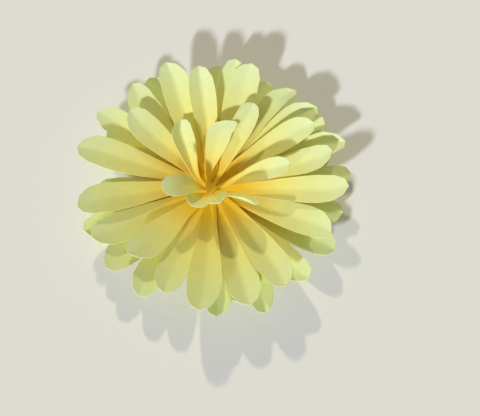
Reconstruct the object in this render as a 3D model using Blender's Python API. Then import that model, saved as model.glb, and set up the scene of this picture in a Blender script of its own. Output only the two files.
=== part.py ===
"""Paper flower: a stack of eight-petal rosettes, each cut from one folded square of paper.

Every rosette is one closed solid: a thin sheet of true paper thickness with a small flat
middle and eight petals that are creased along their length and curl upward.  The rosettes
lie on each other by their flat middles, each one turned against the one below.
Lengths are in metres, angles in degrees.  The flower rests on z = 0 and the viewer sits
on the -Y side.
"""
import math
from collections import namedtuple

import bmesh
import bpy
from mathutils import Matrix, Vector
from numpy import interp

# Sheets of the stack
PAPER = 0.0002
LAYER_GAP = 0.0003
PETAL_COUNT = 8
ROOT_GAP = 0.0006
PAPER_COLOUR = (0.83, 0.76, 0.42, 1)
PAPER_ROUGHNESS = 0.8

# Large rosettes: petal tip from the centre, half the petal's width, radius of the middle
LARGE_REACH = 0.058
LARGE_HALF_WIDTH = 0.0067
LARGE_MIDDLE = 0.007
LARGE_FOLD = 10

# Innermost rosette
INNER_REACH = 0.034
INNER_HALF_WIDTH = 0.0054
INNER_MIDDLE = 0.0025
INNER_FOLD = 16

# Slope of the petals at their roots and tips, for the lowest sheet and for each one above
FIRST_ROOT_SLOPE = 0.5
FIRST_TIP_SLOPE = 16
ROOT_SLOPE_STEP = 2.6
TIP_SLOPE_STEP = 2.2
INNER_ROOT_SLOPE = 42
INNER_TIP_SLOPE = 58

# Outline of a petal: where it is widest, how blunt its tip is (2 is an ellipse), how many
# straight scissor cuts shape each side of the tip, and where its turn and its crease are
# complete
WIDEST = 0.76
TIP_BLUNTNESS = 2.6
TIP_CUTS = 3
TURNED_BY = 0.3
CREASED_BY = 0.35
CREASE_SOFTNESS = 0.25

# Mesh rows along a petal, closer together towards its tip, and columns on each side
ROWS = 10
SIDE_COLUMNS = 2
ALONG = [math.sin(math.pi / 2 * row / ROWS) for row in range(ROWS + 1)]
ACROSS = [column / SIDE_COLUMNS for column in range(-SIDE_COLUMNS, SIDE_COLUMNS + 1)]

# Where the scissor cuts of a tip end, from the widest place to the tip, and the width there
CUT_ENDS = [math.sin(math.pi / 2 * cut / TIP_CUTS) for cut in range(TIP_CUTS + 1)]
CUT_WIDTHS = [math.sqrt(1 - end ** TIP_BLUNTNESS) for end in CUT_ENDS]

# How a rosette is cut and folded; fold is the slope of each petal half beside the crease.
Cut = namedtuple("Cut", "reach half_width middle fold")
LARGE = Cut(LARGE_REACH, LARGE_HALF_WIDTH, LARGE_MIDDLE, LARGE_FOLD)
INNER = Cut(INNER_REACH, INNER_HALF_WIDTH, INNER_MIDDLE, INNER_FOLD)

# How one hand-cut and hand-curled petal differs from its rosette: sway turns it sideways at
# its root, longer adds to its reach and wider to its half width, root_slope, tip_slope and
# fold add to the rosette's angles, roll twists it about its length, and skew moves its tip
# to the left of its crease, as a share of its half width.
Petal = namedtuple("Petal", "sway longer wider root_slope tip_slope fold roll skew",
                   defaults=(0, 0, 0, 0, 0, 0, 0, 0))

# The sheets from the lowest up; turn is the direction of the first petal's root.
Rosette = namedtuple("Rosette", "turn cut root_slope tip_slope petals")


def large_rosette(layer, turn, petals):
    """A large rosette, whose petals stand steeper than those of the sheets below it."""
    return Rosette(turn, LARGE, FIRST_ROOT_SLOPE + layer * ROOT_SLOPE_STEP,
                   FIRST_TIP_SLOPE + layer * TIP_SLOPE_STEP, petals)


ROSETTES = (
    large_rosette(0, 27, (
        Petal(5, 0.001, skew=0.3),
        Petal(-9, -0.0015, 0.0003, tip_slope=-0.3, skew=-0.4),
        Petal(0, 0.001, skew=0.2),
        Petal(-13, -0.0055, -0.0004, skew=-0.2),
        Petal(2, -0.009, tip_slope=-4),
        Petal(-8, -0.011, tip_slope=-5),
        Petal(-5.5, 0.002, -0.0007, skew=-0.25),
        Petal(5, -0.001, skew=0.2),
    )),
    large_rosette(1, 15, (
        Petal(8, 0.0035, -0.0003, fold=12, skew=-0.5),
        Petal(-7, 0.001, -0.0006, fold=12, roll=38, skew=-0.9),
        Petal(-25, 0.0005, root_slope=-1.5, tip_slope=-1.5, fold=5),
        Petal(-7, 0.002, -0.0002, root_slope=1.5, tip_slope=1.5, skew=0.3),
        Petal(12, -0.0005, skew=-0.3),
        Petal(-3, 0, -0.0003, root_slope=1, tip_slope=1, skew=0.3),
        Petal(-1, -0.004),
        Petal(0.5, 0.0015, 0.0002, skew=-0.2),
    )),
    large_rosette(2, 356, (
        Petal(7, 0.002, -0.0004, skew=0.25),
        Petal(-2.5, 0.0005, 0.0002, fold=14, skew=-0.35),
        Petal(-11.5, 0.0025, tip_slope=-0.4, skew=0.3),
        Petal(-3, 0.0005, -0.0002, skew=-0.3),
        Petal(14, -0.008, tip_slope=-3),
        Petal(0, skew=0.2),
        Petal(11, 0.0015, -0.0004, skew=-0.3),
        Petal(0, 0.001, skew=0.2),
    )),
    large_rosette(3, 158, (
        Petal(9, 0.002, 0.0004, skew=0.25),
        Petal(9, -0.0015, skew=-0.2),
        Petal(0, -0.004, -0.0003, skew=0.2),
        Petal(-10, 0, 0.0003),
        Petal(-3, -0.002, skew=-0.3),
        Petal(-15, -0.0035, -0.0008, fold=5, skew=0.3),
        Petal(7, 0.001, 0.0005, skew=-0.2),
        Petal(-6, 0.002, 0.0003, fold=6, skew=0.2),
    )),
    large_rosette(4, 133, (
        Petal(9, -0.009, -0.0002, skew=-0.2),
        Petal(19.5, 0.001, skew=0.3),
        Petal(6.5, -0.0095, 0.0003, skew=-0.3),
        Petal(-2, 0.0015, 0.0004, skew=-0.15),
        Petal(-13.5, 0, 0.0002, skew=-0.2),
        Petal(-6, 0.001, -0.0003, skew=0.2),
        Petal(-16.5, -0.005, -0.0006, fold=6, skew=-0.25),
        Petal(11, -0.003, -0.0004, fold=12),
    )),
    Rosette(12, INNER, INNER_ROOT_SLOPE, INNER_TIP_SLOPE, (
        Petal(-5, 0.003, -0.0006, root_slope=-9, tip_slope=-35),
        Petal(6, 0.0075, root_slope=-16, tip_slope=-46, fold=4),
        Petal(-30, -0.0025, root_slope=-14, tip_slope=-36, fold=-4, skew=-0.9),
        Petal(-38, 0, 0.0006, root_slope=-31, tip_slope=-41, fold=22, skew=-0.3),
        Petal(12, -0.0035, -0.0004, root_slope=31, tip_slope=-39, fold=-8, roll=-12),
        Petal(2, -0.014, -0.0003, root_slope=5, tip_slope=-15),
        Petal(4, -0.0095, -0.0008, root_slope=23, tip_slope=-7, roll=15),
        Petal(-9, -0.003, -0.0004, root_slope=5, tip_slope=-19, roll=-66),
    )),
)


def ease(value):
    """A smooth step from 0 to 1."""
    value = min(max(value, 0.0), 1.0)
    return value * value * (3 - 2 * value)


def blend(start, end, share):
    """The value at a share of the way from start to end."""
    return start + (end - start) * share


def root_half_width(cut):
    """Half a petal's root: its share of the middle's rim, less the gap to its neighbour."""
    return cut.middle * math.tan(math.pi / PETAL_COUNT) - ROOT_GAP / 2


def past_widest(u):
    """How far the share u of a petal's length is on the way from its widest place to its tip."""
    return max(0.0, (u - WIDEST) / (1 - WIDEST))


def half_width(cut, petal, u):
    """Half the width of the flat petal at the share u of its length."""
    body = blend(root_half_width(cut), cut.half_width + petal.wider, ease(u / WIDEST))
    return body * interp(past_widest(u), CUT_ENDS, CUT_WIDTHS)


def crease_height(v):
    """Height profile across a petal: 0 on the soft crease, 1 at the cut edge."""
    at_edge = math.hypot(1, CREASE_SOFTNESS) - CREASE_SOFTNESS
    return (math.hypot(v, CREASE_SOFTNESS) - CREASE_SOFTNESS) / at_edge


def petal_direction(rosette, petal, root_turn, u):
    """Heading and slope of a petal's centre line at the share u of its length."""
    slope = blend(rosette.root_slope + petal.root_slope,
                  rosette.tip_slope + petal.tip_slope, u)
    heading = root_turn + petal.sway * ease(u / TURNED_BY)
    return math.radians(heading), math.radians(slope)


def ahead_vector(heading, slope):
    """The unit vector with this heading and slope."""
    return Vector((math.cos(slope) * math.cos(heading),
                   math.cos(slope) * math.sin(heading),
                   math.sin(slope)))


def petal_rows(rosette, petal, root_turn, base_z):
    """Rows of points over a petal's middle surface: the root first, the tip point last."""
    cut = rosette.cut
    length = cut.reach + petal.longer - cut.middle
    skew = petal.skew * (cut.half_width + petal.wider)
    point = ahead_vector(math.radians(root_turn), 0) * cut.middle
    point.z = base_z
    rows = []
    last_u = 0.0
    for u in ALONG:
        step = ahead_vector(*petal_direction(rosette, petal, root_turn, (last_u + u) / 2))
        point = point + step * (u - last_u) * length
        last_u = u
        heading, slope = petal_direction(rosette, petal, root_turn, u)
        ahead = ahead_vector(heading, slope)
        side = Vector((-math.sin(heading), math.cos(heading), 0))
        side = Matrix.Rotation(math.radians(petal.roll) * u, 3, ahead) @ side
        up = ahead.cross(side)
        fold = math.radians(cut.fold + petal.fold) * ease(u / CREASED_BY)
        half = half_width(cut, petal, u)
        middle = point + side * skew * past_widest(u) ** 2
        if u == ALONG[-1]:
            rows.append([middle])
            break
        rows.append([middle + side * half * v * math.cos(fold)
                     + up * half * crease_height(v) * math.sin(fold) for v in ACROSS])
    return rows


def add_petal(sheet, rows):
    """Faces over one petal; returns the points of its root row."""
    grid = [[sheet.verts.new(point) for point in row] for row in rows]
    tip = grid.pop()[0]
    for low, high in zip(grid, grid[1:]):
        for column in range(len(ACROSS) - 1):
            sheet.faces.new((low[column], high[column], high[column + 1], low[column + 1]))
    for a, b in zip(grid[-1], grid[-1][1:]):
        sheet.faces.new((a, tip, b))
    return grid[0]


def sheet_mesh(name, rosette, base_z):
    """The middle surface of a whole rosette: its petals around a flat middle."""
    sheet = bmesh.new()
    rim = []
    for index, petal in enumerate(rosette.petals):
        root_turn = rosette.turn + 360 / PETAL_COUNT * index
        rim += add_petal(sheet, petal_rows(rosette, petal, root_turn, base_z))
    centre = sheet.verts.new((0, 0, base_z))
    for a, b in zip(rim, rim[1:] + rim[:1]):
        sheet.faces.new((centre, a, b))
    mesh = bpy.data.meshes.new(name)
    sheet.to_mesh(mesh)
    sheet.free()
    mesh.shade_smooth()
    return mesh


def paper_material(name):
    """Pale yellow uncoated paper."""
    material = bpy.data.materials.new(name)
    material.use_nodes = True
    shader = material.node_tree.nodes["Principled BSDF"]
    shader.inputs["Base Color"].default_value = PAPER_COLOUR
    shader.inputs["Roughness"].default_value = PAPER_ROUGHNESS
    return material


def build_rosette(name, rosette, base_z):
    """One named object for one cut and folded sheet of paper."""
    mesh = sheet_mesh(name, rosette, base_z)
    mesh.materials.append(paper_material(name + "_paper"))
    thing = bpy.data.objects.new(name, mesh)
    bpy.context.scene.collection.objects.link(thing)
    sheet = thing.modifiers.new("paper thickness", "SOLIDIFY")
    sheet.thickness = PAPER
    sheet.offset = 0


def main():
    """Builds the whole flower in an empty scene."""
    for thing in list(bpy.data.objects):
        bpy.data.objects.remove(thing)
    for layer, rosette in enumerate(ROSETTES):
        base_z = PAPER / 2 + layer * (PAPER + LAYER_GAP)
        build_rosette(f"rosette_{layer + 1}", rosette, base_z)


main()
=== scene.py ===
"""Looks of the paper flower: finely modelled sheets of thin yellow paper, light and camera.

Every rosette of the frame is replaced by the same cut and folded sheet with many more points:
a crisp crease along each petal, gentle waves, slightly uneven cutting and a thin pale rim.
Lengths are in metres, and the petals' angles in degrees.
"""

import math
from collections import namedtuple

import bmesh
import bpy
from mathutils import Matrix, Vector, noise
from numpy import interp


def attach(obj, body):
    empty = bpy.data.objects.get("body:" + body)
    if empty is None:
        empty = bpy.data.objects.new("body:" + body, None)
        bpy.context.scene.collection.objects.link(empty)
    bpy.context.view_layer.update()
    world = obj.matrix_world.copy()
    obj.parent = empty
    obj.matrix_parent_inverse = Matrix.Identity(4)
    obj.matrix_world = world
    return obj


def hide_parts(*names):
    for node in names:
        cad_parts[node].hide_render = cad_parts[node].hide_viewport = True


# Sheets of the stack, as in the frame
PAPER = 0.0002
LAYER_GAP = 0.0003
PETAL_COUNT = 8
ROOT_GAP = 0.0006

# Large rosettes: petal tip from the centre, half the petal's width, radius of the middle,
# and the slope of each petal half beside the crease
LARGE_REACH = 0.058
LARGE_HALF_WIDTH = 0.0067
LARGE_MIDDLE = 0.007
LARGE_FOLD = 10

# Innermost rosette
INNER_REACH = 0.034
INNER_HALF_WIDTH = 0.0054
INNER_MIDDLE = 0.0025
INNER_FOLD = 16

# Slope of the petals at their roots and tips, for the lowest sheet and for each one above
FIRST_ROOT_SLOPE = 0.5
FIRST_TIP_SLOPE = 16
ROOT_SLOPE_STEP = 2.6
TIP_SLOPE_STEP = 2.2
INNER_ROOT_SLOPE = 42
INNER_TIP_SLOPE = 58

# Outline of a petal: where it is widest, how blunt its tip is (2 is an ellipse), how many
# straight scissor cuts shape each side of the tip, and where its turn and its crease are
# complete
WIDEST = 0.76
TIP_BLUNTNESS = 2.6
TIP_CUTS = 3
TURNED_BY = 0.3
CREASED_BY = 0.35
CREASE_SOFTNESS = 0.12

# Fine mesh: rows along a petal, closer together towards its tip, and columns on each side
ROWS = 40
SIDE_COLUMNS = 8
ALONG = [math.sin(math.pi / 2 * row / ROWS) for row in range(ROWS + 1)]
ACROSS = [column / SIDE_COLUMNS for column in range(-SIDE_COLUMNS, SIDE_COLUMNS + 1)]

# Where the scissor cuts of a tip end, from the widest place to the tip, and the width there
CUT_ENDS = [math.sin(math.pi / 2 * cut / TIP_CUTS) for cut in range(TIP_CUTS + 1)]
CUT_WIDTHS = [math.sqrt(1 - end ** TIP_BLUNTNESS) for end in CUT_ENDS]

# Hand-made unevenness: waves of the sheet, and the wander of the scissors as a share of the
# petal's width; the two steps keep petals, and the sides of one petal, from looking alike
WAVE_HEIGHT = 0.00018
WAVE_LENGTH = 0.016
CUT_WANDER = 0.02
WANDER_LENGTH = 0.009
PETAL_WANDER_STEP = 7
SIDE_WANDER_STEP = 5
SHARP_EDGE = math.radians(55)

# Camera: where it stands, its lens for a 36 mm wide sensor, and how many pixels the flower's
# centre lies left of the picture's middle and above it
CAMERA_AZIMUTH = math.radians(-90)
CAMERA_ELEVATION = math.radians(68)
CAMERA_DISTANCE = 0.34
CAMERA_LENS = 59.2
CAMERA_NEAREST = 0.01
FRAME_WIDTH = 480
CENTRE_LEFT_OF_MIDDLE = 29
CENTRE_ABOVE_MIDDLE = 17

# Light: a low key lamp from the front left, a weaker lamp behind, and an even pale sky;
# softness is how wide a lamp looks from the flower, and the backdrop is the sky as it is seen
Lamp = namedtuple("Lamp", "name azimuth elevation softness strength colour")
KEY = Lamp("key", math.radians(242), math.radians(27), math.radians(4), 2.8, (0.94, 1.0, 1.1))
BACK = Lamp("back", math.radians(104), math.radians(34), math.radians(3), 1.15, (1.0, 0.93, 0.64))
SKY_COLOUR = (1.0, 0.95, 0.82)
SKY_STRENGTH = 0.34
BACKDROP_STRENGTH = 0.7
LIGHT_BOUNCES = 8
AIMED_AT = Vector((0, 0, 0))

FLOOR_SIZE = 4.0
FLOOR_COLOUR = (0.78, 0.77, 0.75)
FLOOR_ROUGHNESS = 0.9

# Paper: orange yellow at the root of a petal, then warm yellow, and pale green at its tip;
# each colour with the share of the petal's length at which it is reached. The paper's own
# tone runs this way. The deep orange at the root is partly painted shade of the flower's
# hollow, and the paleness of the tip is partly a painted sheen of the lit tips.
ROOT_COLOUR_AND_SHADE = (0.12, (0.93, 0.66, 0.035))
BODY_COLOUR = (0.44, (0.94, 0.88, 0.27))
TIP_COLOUR_AND_SHEEN = (0.93, (0.87, 0.93, 0.54))
PAPER_ROUGHNESS = 0.75
PAPER_GLOSS = 0.15
LIGHT_THROUGH_PAPER = 0.3

# Cut edge of the paper
RIM_COLOUR = (0.86, 0.84, 0.42)
RIM_ROUGHNESS = 0.9

# Mottling of the paper, from its darkest to its palest patches, and the relief of its fibres
MOTTLE_SCALE = 260
MOTTLE_DETAIL = 6
MOTTLE_DARKEST = 0.95
MOTTLE_PALEST = 1.05
FIBRE_SCALE = 2600
FIBRE_DETAIL = 3
FIBRE_STRENGTH = 0.25
FIBRE_HEIGHT = 0.00005

# How a rosette is cut and folded; fold is the slope of each petal half beside the crease.
Cut = namedtuple("Cut", "reach half_width middle fold")
LARGE = Cut(LARGE_REACH, LARGE_HALF_WIDTH, LARGE_MIDDLE, LARGE_FOLD)
INNER = Cut(INNER_REACH, INNER_HALF_WIDTH, INNER_MIDDLE, INNER_FOLD)

# How one hand-cut and hand-curled petal differs from its rosette: sway turns it sideways at
# its root, longer adds to its reach and wider to its half width, root_slope, tip_slope and
# fold add to the rosette's angles, roll twists it about its length, and skew moves its tip
# to the left of its crease, as a share of its half width.
Petal = namedtuple("Petal", "sway longer wider root_slope tip_slope fold roll skew",
                   defaults=(0, 0, 0, 0, 0, 0, 0, 0))

# The sheets from the lowest up; turn is the direction of the first petal's root.
Rosette = namedtuple("Rosette", "turn cut root_slope tip_slope petals")


def large_rosette(layer, turn, petals):
    """A large rosette, whose petals stand steeper than those of the sheets below it."""
    return Rosette(turn, LARGE, FIRST_ROOT_SLOPE + layer * ROOT_SLOPE_STEP,
                   FIRST_TIP_SLOPE + layer * TIP_SLOPE_STEP, petals)


ROSETTES = (
    large_rosette(0, 27, (
        Petal(5, 0.001, skew=0.3),
        Petal(-9, -0.0015, 0.0003, tip_slope=-0.3, skew=-0.4),
        Petal(0, 0.001, skew=0.2),
        Petal(-13, -0.0055, -0.0004, skew=-0.2),
        Petal(2, -0.009, tip_slope=-4),
        Petal(-8, -0.011, tip_slope=-5),
        Petal(-5.5, 0.002, -0.0007, skew=-0.25),
        Petal(5, -0.001, skew=0.2),
    )),
    large_rosette(1, 15, (
        Petal(8, 0.0035, -0.0003, fold=12, skew=-0.5),
        Petal(-7, 0.001, -0.0006, fold=12, roll=38, skew=-0.9),
        Petal(-25, 0.0005, root_slope=-1.5, tip_slope=-1.5, fold=5),
        Petal(-7, 0.002, -0.0002, root_slope=1.5, tip_slope=1.5, skew=0.3),
        Petal(12, -0.0005, skew=-0.3),
        Petal(-3, 0, -0.0003, root_slope=1, tip_slope=1, skew=0.3),
        Petal(-1, -0.004),
        Petal(0.5, 0.0015, 0.0002, skew=-0.2),
    )),
    large_rosette(2, 356, (
        Petal(7, 0.002, -0.0004, skew=0.25),
        Petal(-2.5, 0.0005, 0.0002, fold=14, skew=-0.35),
        Petal(-11.5, 0.0025, tip_slope=-0.4, skew=0.3),
        Petal(-3, 0.0005, -0.0002, skew=-0.3),
        Petal(14, -0.008, tip_slope=-3),
        Petal(0, skew=0.2),
        Petal(11, 0.0015, -0.0004, skew=-0.3),
        Petal(0, 0.001, skew=0.2),
    )),
    large_rosette(3, 158, (
        Petal(9, 0.002, 0.0004, skew=0.25),
        Petal(9, -0.0015, skew=-0.2),
        Petal(0, -0.004, -0.0003, skew=0.2),
        Petal(-10, 0, 0.0003),
        Petal(-3, -0.002, skew=-0.3),
        Petal(-15, -0.0035, -0.0008, fold=5, skew=0.3),
        Petal(7, 0.001, 0.0005, skew=-0.2),
        Petal(-6, 0.002, 0.0003, fold=6, skew=0.2),
    )),
    large_rosette(4, 133, (
        Petal(9, -0.009, -0.0002, skew=-0.2),
        Petal(19.5, 0.001, skew=0.3),
        Petal(6.5, -0.0095, 0.0003, skew=-0.3),
        Petal(-2, 0.0015, 0.0004, skew=-0.15),
        Petal(-13.5, 0, 0.0002, skew=-0.2),
        Petal(-6, 0.001, -0.0003, skew=0.2),
        Petal(-16.5, -0.005, -0.0006, fold=6, skew=-0.25),
        Petal(11, -0.003, -0.0004, fold=12),
    )),
    Rosette(12, INNER, INNER_ROOT_SLOPE, INNER_TIP_SLOPE, (
        Petal(-5, 0.003, -0.0006, root_slope=-9, tip_slope=-35),
        Petal(6, 0.0075, root_slope=-16, tip_slope=-46, fold=4),
        Petal(-30, -0.0025, root_slope=-14, tip_slope=-36, fold=-4, skew=-0.9),
        Petal(-38, 0, 0.0006, root_slope=-31, tip_slope=-41, fold=22, skew=-0.3),
        Petal(12, -0.0035, -0.0004, root_slope=31, tip_slope=-39, fold=-8, roll=-12),
        Petal(2, -0.014, -0.0003, root_slope=5, tip_slope=-15),
        Petal(4, -0.0095, -0.0008, root_slope=23, tip_slope=-7, roll=15),
        Petal(-9, -0.003, -0.0004, root_slope=5, tip_slope=-19, roll=-66),
    )),
)


def ease(value):
    """A smooth step from 0 to 1."""
    value = min(max(value, 0.0), 1.0)
    return value * value * (3 - 2 * value)


def blend(start, end, share):
    """The value at a share of the way from start to end."""
    return start + (end - start) * share


def direction(heading, slope):
    """The unit vector with this heading, counted from +X, and this slope, both in radians."""
    return Vector((math.cos(slope) * math.cos(heading),
                   math.cos(slope) * math.sin(heading),
                   math.sin(slope)))


def root_half_width(cut):
    """Half a petal's root: its share of the middle's rim, less the gap to its neighbour."""
    return cut.middle * math.tan(math.pi / PETAL_COUNT) - ROOT_GAP / 2


def past_widest(u):
    """How far the share u of a petal's length is on the way from its widest place to its tip."""
    return max(0.0, (u - WIDEST) / (1 - WIDEST))


def half_width(cut, petal, u):
    """Half the width of the flat petal at the share u of its length."""
    body = blend(root_half_width(cut), cut.half_width + petal.wider, ease(u / WIDEST))
    return body * interp(past_widest(u), CUT_ENDS, CUT_WIDTHS)


def crease_height(v):
    """Height profile across a petal: 0 on the soft crease, 1 at the cut edge."""
    at_edge = math.hypot(1, CREASE_SOFTNESS) - CREASE_SOFTNESS
    return (math.hypot(v, CREASE_SOFTNESS) - CREASE_SOFTNESS) / at_edge


def petal_direction(rosette, petal, root_turn, u):
    """Heading and slope of a petal's centre line at the share u of its length, in radians."""
    slope = blend(rosette.root_slope + petal.root_slope,
                  rosette.tip_slope + petal.tip_slope, u)
    heading = root_turn + petal.sway * ease(u / TURNED_BY)
    return math.radians(heading), math.radians(slope)


def wave(point, ahead, up, u):
    """Gentle unevenness of the sheet, growing from the root of a petal to its tip."""
    return up * WAVE_HEIGHT * ease(u) * noise.noise(point / WAVE_LENGTH + ahead)


def cut_wander(root_turn, side, u, length):
    """How much wider or narrower than drawn the scissors cut one side of a petal."""
    place = Vector((u * length / WANDER_LENGTH,
                    PETAL_WANDER_STEP * root_turn,
                    SIDE_WANDER_STEP * side))
    return 1 - CUT_WANDER / 2 + CUT_WANDER * noise.noise(place)


def petal_rows(rosette, petal, root_turn, base_z):
    """Rows over a petal's middle surface, as the share of its length and the row's points.

    The row at the petal's root comes first, and the last one has only the tip's point.
    """
    cut = rosette.cut
    length = cut.reach + petal.longer - cut.middle
    skew = petal.skew * (cut.half_width + petal.wider)
    point = direction(math.radians(root_turn), 0) * cut.middle
    point.z = base_z
    rows = []
    last_u = 0.0
    for u in ALONG:
        step = direction(*petal_direction(rosette, petal, root_turn, (last_u + u) / 2))
        point = point + step * (u - last_u) * length
        last_u = u
        heading, slope = petal_direction(rosette, petal, root_turn, u)
        ahead = direction(heading, slope)
        side = Vector((-math.sin(heading), math.cos(heading), 0))
        side = Matrix.Rotation(math.radians(petal.roll) * u, 3, ahead) @ side
        up = ahead.cross(side)
        middle = point + side * skew * past_widest(u) ** 2
        if u == ALONG[-1]:
            rows.append((u, [middle]))
            break
        fold = math.radians(cut.fold + petal.fold) * ease(u / CREASED_BY)
        points = []
        for v in ACROSS:
            half = half_width(cut, petal, u)
            if v:
                half *= cut_wander(root_turn, math.copysign(1, v), u, length)
            place = (middle + side * half * v * math.cos(fold)
                     + up * half * crease_height(v) * math.sin(fold))
            points.append(place + wave(place, ahead, up, u))
        rows.append((u, points))
    return rows


def add_petal(sheet, rows):
    """Faces over one petal, whose points know how far along it they lie; returns its root row."""
    along = sheet.verts.layers.float["along"]
    grid = []
    for u, points in rows:
        grid.append([sheet.verts.new(point) for point in points])
        for corner in grid[-1]:
            corner[along] = u
    tip = grid.pop()[0]
    for low, high in zip(grid, grid[1:]):
        for column in range(len(ACROSS) - 1):
            sheet.faces.new((low[column], high[column], high[column + 1], low[column + 1]))
    for a, b in zip(grid[-1], grid[-1][1:]):
        sheet.faces.new((a, tip, b))
    return grid[0]


def sheet_mesh(name, rosette, base_z):
    """The middle surface of a whole rosette: its petals around a flat middle."""
    sheet = bmesh.new()
    sheet.verts.layers.float.new("along")
    rim = []
    for index, petal in enumerate(rosette.petals):
        root_turn = rosette.turn + 360 / PETAL_COUNT * index
        rim += add_petal(sheet, petal_rows(rosette, petal, root_turn, base_z))
    centre = sheet.verts.new((0, 0, base_z))
    for a, b in zip(rim, rim[1:] + rim[:1]):
        sheet.faces.new((centre, a, b))
    mesh = bpy.data.meshes.new(name)
    sheet.to_mesh(mesh)
    sheet.free()
    return mesh


def build_sheet(name, rosette, base_z, materials):
    """One rosette as a thin closed sheet; its cut rim has the second material."""
    mesh = sheet_mesh(name, rosette, base_z)
    for material in materials:
        mesh.materials.append(material)
    piece = bpy.data.objects.new(name, mesh)
    bpy.context.scene.collection.objects.link(piece)
    thick = piece.modifiers.new("paper thickness", "SOLIDIFY")
    thick.thickness = PAPER
    thick.offset = 0
    thick.material_offset_rim = 1
    scene_now = bpy.context.evaluated_depsgraph_get()
    solid = bpy.data.meshes.new_from_object(piece.evaluated_get(scene_now))
    piece.modifiers.clear()
    piece.data = solid
    solid.shade_smooth()
    solid.set_sharp_from_angle(angle=SHARP_EDGE)
    return piece


def link(tree, start, end):
    """Joins the output of one node to the input of another."""
    tree.links.new(start, end)


def add_node(tree, kind, values):
    """A new node, with values for its inputs by their names."""
    node = tree.nodes.new(kind)
    for name, value in values.items():
        node.inputs[name].default_value = value
    return node


def petal_tone_and_painted_light(tree):
    """The paper's colour along a petal, from its root to its tip; the root's deep orange is
    partly painted shade, and the tip's paleness is partly painted sheen.
    """
    along = tree.nodes.new("ShaderNodeAttribute")
    along.attribute_name = "along"
    tone = tree.nodes.new("ShaderNodeValToRGB")
    stops = tone.color_ramp.elements
    # The root stop is partly painted shade of the hollow, and the tip stop is partly a painted
    # sheen.
    stops.new(BODY_COLOUR[0])
    for stop, (place, colour) in zip(stops, (ROOT_COLOUR_AND_SHADE, BODY_COLOUR, TIP_COLOUR_AND_SHEEN)):
        stop.position = place
        stop.color = (*colour, 1)
    link(tree, along.outputs["Fac"], tone.inputs["Fac"])
    return tone.outputs["Color"]


def mottled(tree, at, tone):
    """A colour with the faint dark and pale patches of the paper."""
    cloud = add_node(tree, "ShaderNodeTexNoise",
                     {"Scale": MOTTLE_SCALE, "Detail": MOTTLE_DETAIL})
    link(tree, at, cloud.inputs["Vector"])
    mottle = add_node(tree, "ShaderNodeMapRange",
                      {"To Min": MOTTLE_DARKEST, "To Max": MOTTLE_PALEST})
    link(tree, cloud.outputs["Fac"], mottle.inputs["Value"])
    colour = tree.nodes.new("ShaderNodeVectorMath")
    colour.operation = "SCALE"
    link(tree, tone, colour.inputs[0])
    link(tree, mottle.outputs["Result"], colour.inputs["Scale"])
    return colour.outputs["Vector"]


def fibre_relief(tree, at):
    """The surface direction over the fine fibres of the paper."""
    fibre = add_node(tree, "ShaderNodeTexNoise",
                     {"Scale": FIBRE_SCALE, "Detail": FIBRE_DETAIL})
    link(tree, at, fibre.inputs["Vector"])
    bump = add_node(tree, "ShaderNodeBump",
                    {"Strength": FIBRE_STRENGTH, "Distance": FIBRE_HEIGHT})
    link(tree, fibre.outputs["Fac"], bump.inputs["Height"])
    return bump.outputs["Normal"]


def paper_material(name):
    """Thin uncoated yellow paper: fibres, faint mottling, light that shines through, and a colour
    along each petal that holds painted shade at the root and painted sheen at the tip.
    """
    material = bpy.data.materials.new(name)
    material.use_nodes = True
    tree = material.node_tree
    shader = tree.nodes["Principled BSDF"]
    shader.inputs["Roughness"].default_value = PAPER_ROUGHNESS
    shader.inputs["Specular IOR Level"].default_value = PAPER_GLOSS
    at = tree.nodes.new("ShaderNodeTexCoord").outputs["Object"]
    colour = mottled(tree, at, petal_tone_and_painted_light(tree))
    link(tree, colour, shader.inputs["Base Color"])
    link(tree, fibre_relief(tree, at), shader.inputs["Normal"])

    through = tree.nodes.new("ShaderNodeBsdfTranslucent")
    link(tree, colour, through.inputs["Color"])
    both = add_node(tree, "ShaderNodeMixShader", {"Fac": LIGHT_THROUGH_PAPER})
    link(tree, shader.outputs["BSDF"], both.inputs[1])
    link(tree, through.outputs["BSDF"], both.inputs[2])
    link(tree, both.outputs["Shader"], tree.nodes["Material Output"].inputs["Surface"])
    return material


def plain_material(name, colour, roughness):
    """A matt material of one colour, for the paper's thin cut edge and for the floor."""
    material = bpy.data.materials.new(name)
    material.use_nodes = True
    shader = material.node_tree.nodes["Principled BSDF"]
    shader.inputs["Base Color"].default_value = (*colour, 1)
    shader.inputs["Roughness"].default_value = roughness
    return material


def add_flower():
    """Every sheet of the flower, each in place of its plain solid."""
    materials = (paper_material("yellow_paper"),
                 plain_material("paper_rim", RIM_COLOUR, RIM_ROUGHNESS))
    for layer, rosette in enumerate(ROSETTES):
        base_z = PAPER / 2 + layer * (PAPER + LAYER_GAP)
        piece = build_sheet(f"sheet_{layer + 1}", rosette, base_z, materials)
        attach(piece, "root")
        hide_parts(f"rosette_{layer + 1}")


def add_floor():
    """A plain pale floor under the flower."""
    bpy.ops.mesh.primitive_plane_add(size=FLOOR_SIZE, location=(0, 0, 0))
    floor = bpy.context.object
    floor.name = "floor"
    floor.data.materials.append(plain_material("floor", FLOOR_COLOUR, FLOOR_ROUGHNESS))


def aim(thing, at):
    """Turns a lamp or a camera towards a point."""
    thing.rotation_euler = (at - thing.location).to_track_quat("-Z", "Y").to_euler()


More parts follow.
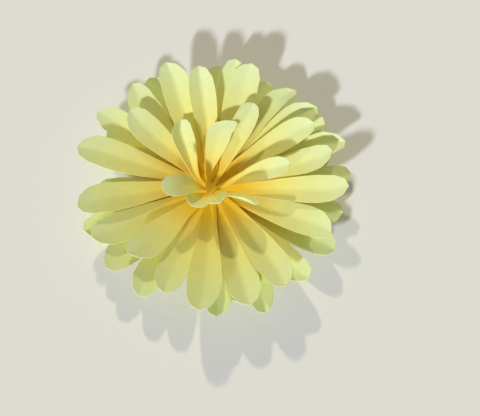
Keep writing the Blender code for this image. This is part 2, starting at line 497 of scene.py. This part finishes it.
def add_lamp(settings):
    """A far lamp, which lights the flower and the floor evenly."""
    data = bpy.data.lights.new(settings.name, "SUN")
    data.angle = settings.softness
    data.energy = settings.strength
    data.color = settings.colour
    lamp = bpy.data.objects.new(settings.name, data)
    lamp.location = direction(settings.azimuth, settings.elevation)
    aim(lamp, AIMED_AT)
    bpy.context.scene.collection.objects.link(lamp)


def add_sky():
    """Even light from all around, and a pale backdrop where the camera sees past the floor."""
    world = bpy.data.worlds.new("sky")
    world.use_nodes = True
    tree = world.node_tree
    sky = tree.nodes["Background"]
    sky.inputs["Color"].default_value = (*SKY_COLOUR, 1)
    ray = tree.nodes.new("ShaderNodeLightPath")
    strength = add_node(tree, "ShaderNodeMapRange",
                        {"To Min": SKY_STRENGTH, "To Max": BACKDROP_STRENGTH})
    link(tree, ray.outputs["Is Camera Ray"], strength.inputs["Value"])
    link(tree, strength.outputs["Result"], sky.inputs["Strength"])
    bpy.context.scene.world = world


def add_camera():
    """The camera, high in front of the flower, which sits a little up and left in the frame."""
    data = bpy.data.cameras.new("camera")
    data.lens = CAMERA_LENS
    data.shift_x = CENTRE_LEFT_OF_MIDDLE / FRAME_WIDTH
    data.shift_y = -CENTRE_ABOVE_MIDDLE / FRAME_WIDTH
    data.clip_start = CAMERA_NEAREST
    camera = bpy.data.objects.new("camera", data)
    camera.location = direction(CAMERA_AZIMUTH, CAMERA_ELEVATION) * CAMERA_DISTANCE
    aim(camera, AIMED_AT)
    bpy.context.scene.collection.objects.link(camera)
    bpy.context.scene.camera = camera


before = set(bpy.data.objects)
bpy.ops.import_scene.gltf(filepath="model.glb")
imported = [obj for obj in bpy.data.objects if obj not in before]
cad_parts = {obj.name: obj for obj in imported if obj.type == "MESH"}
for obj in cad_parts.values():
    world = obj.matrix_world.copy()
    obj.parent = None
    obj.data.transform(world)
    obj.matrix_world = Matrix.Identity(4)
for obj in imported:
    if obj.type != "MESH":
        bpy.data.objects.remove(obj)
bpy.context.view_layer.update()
bpy.context.scene.view_settings.view_transform = "Standard"
bpy.context.scene.cycles.diffuse_bounces = LIGHT_BOUNCES
add_camera()
add_lamp(KEY)
add_lamp(BACK)
add_sky()
add_floor()
add_flower()
